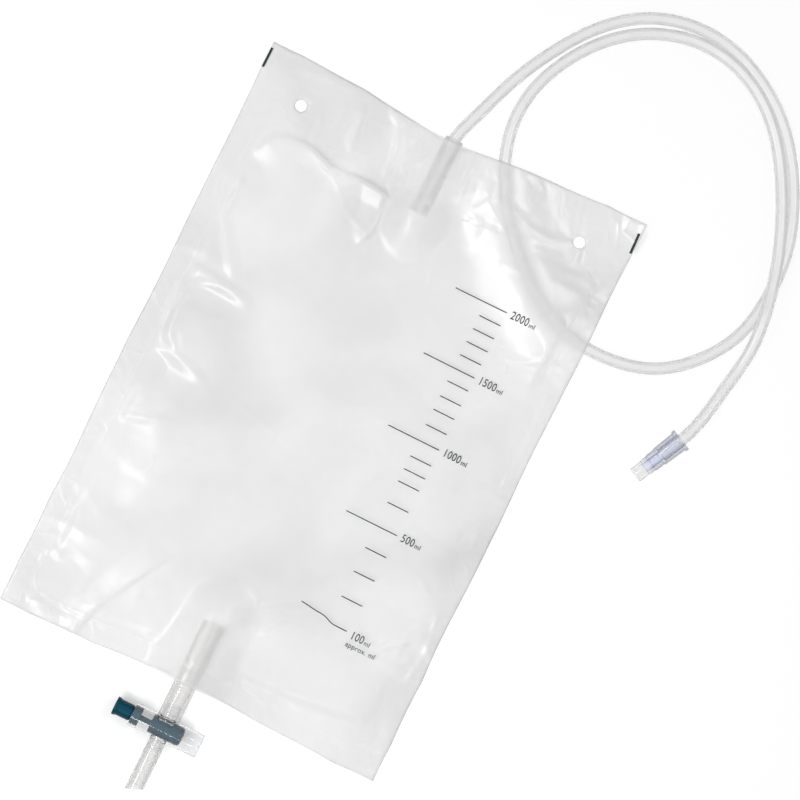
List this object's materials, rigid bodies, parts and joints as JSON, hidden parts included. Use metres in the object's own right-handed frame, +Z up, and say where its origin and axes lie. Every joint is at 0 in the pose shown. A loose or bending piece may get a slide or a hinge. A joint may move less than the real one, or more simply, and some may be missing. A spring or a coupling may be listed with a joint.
{
  "type": "urine drainage bag",
  "caption": "Flat two-film urine drainage bag with a printed volume scale, an inlet tube with a stepped connector, and a push tap on its drain tube.",
  "frame": {"origin": "centre of the underside of the bag with its tap, without the free inlet tube and its connector", "axes": "+X across the bag, +Y along it towards the inlet and the header, +Z up out of the printed front film"},
  "size_m": [0.2956, 0.4869, 0.0142],
  "materials": {
    "front_film": "clear glossy film",
    "back_film": "milky satin film",
    "valve_film": "clear film",
    "soft_plastic": "clear soft moulding",
    "tube_plastic": "clear flexible tube",
    "tap_plastic": "clear hard moulding",
    "plunger_plastic": "smooth dark teal moulding",
    "connector_plastic": "clear lilac hard moulding"
  },
  "bodies": {
    "bag": {"front_sheet": "front_film", "back_sheet": "back_film", "inlet_port": "soft_plastic", "return_valve": "valve_film", "inlet_tube": "tube_plastic", "connector": "connector_plastic", "drain_tube": "soft_plastic", "tap_body": "tap_plastic", "spout_tube": "soft_plastic"},
    "plunger": {"tap_plunger": "plunger_plastic"}
  },
  "joints": [
    {"name": "tap_slide", "type": "slide", "parent": "bag", "child": "plunger", "axis": [1, 0, 0], "range_m": [0, 0.0102]}
  ]
}
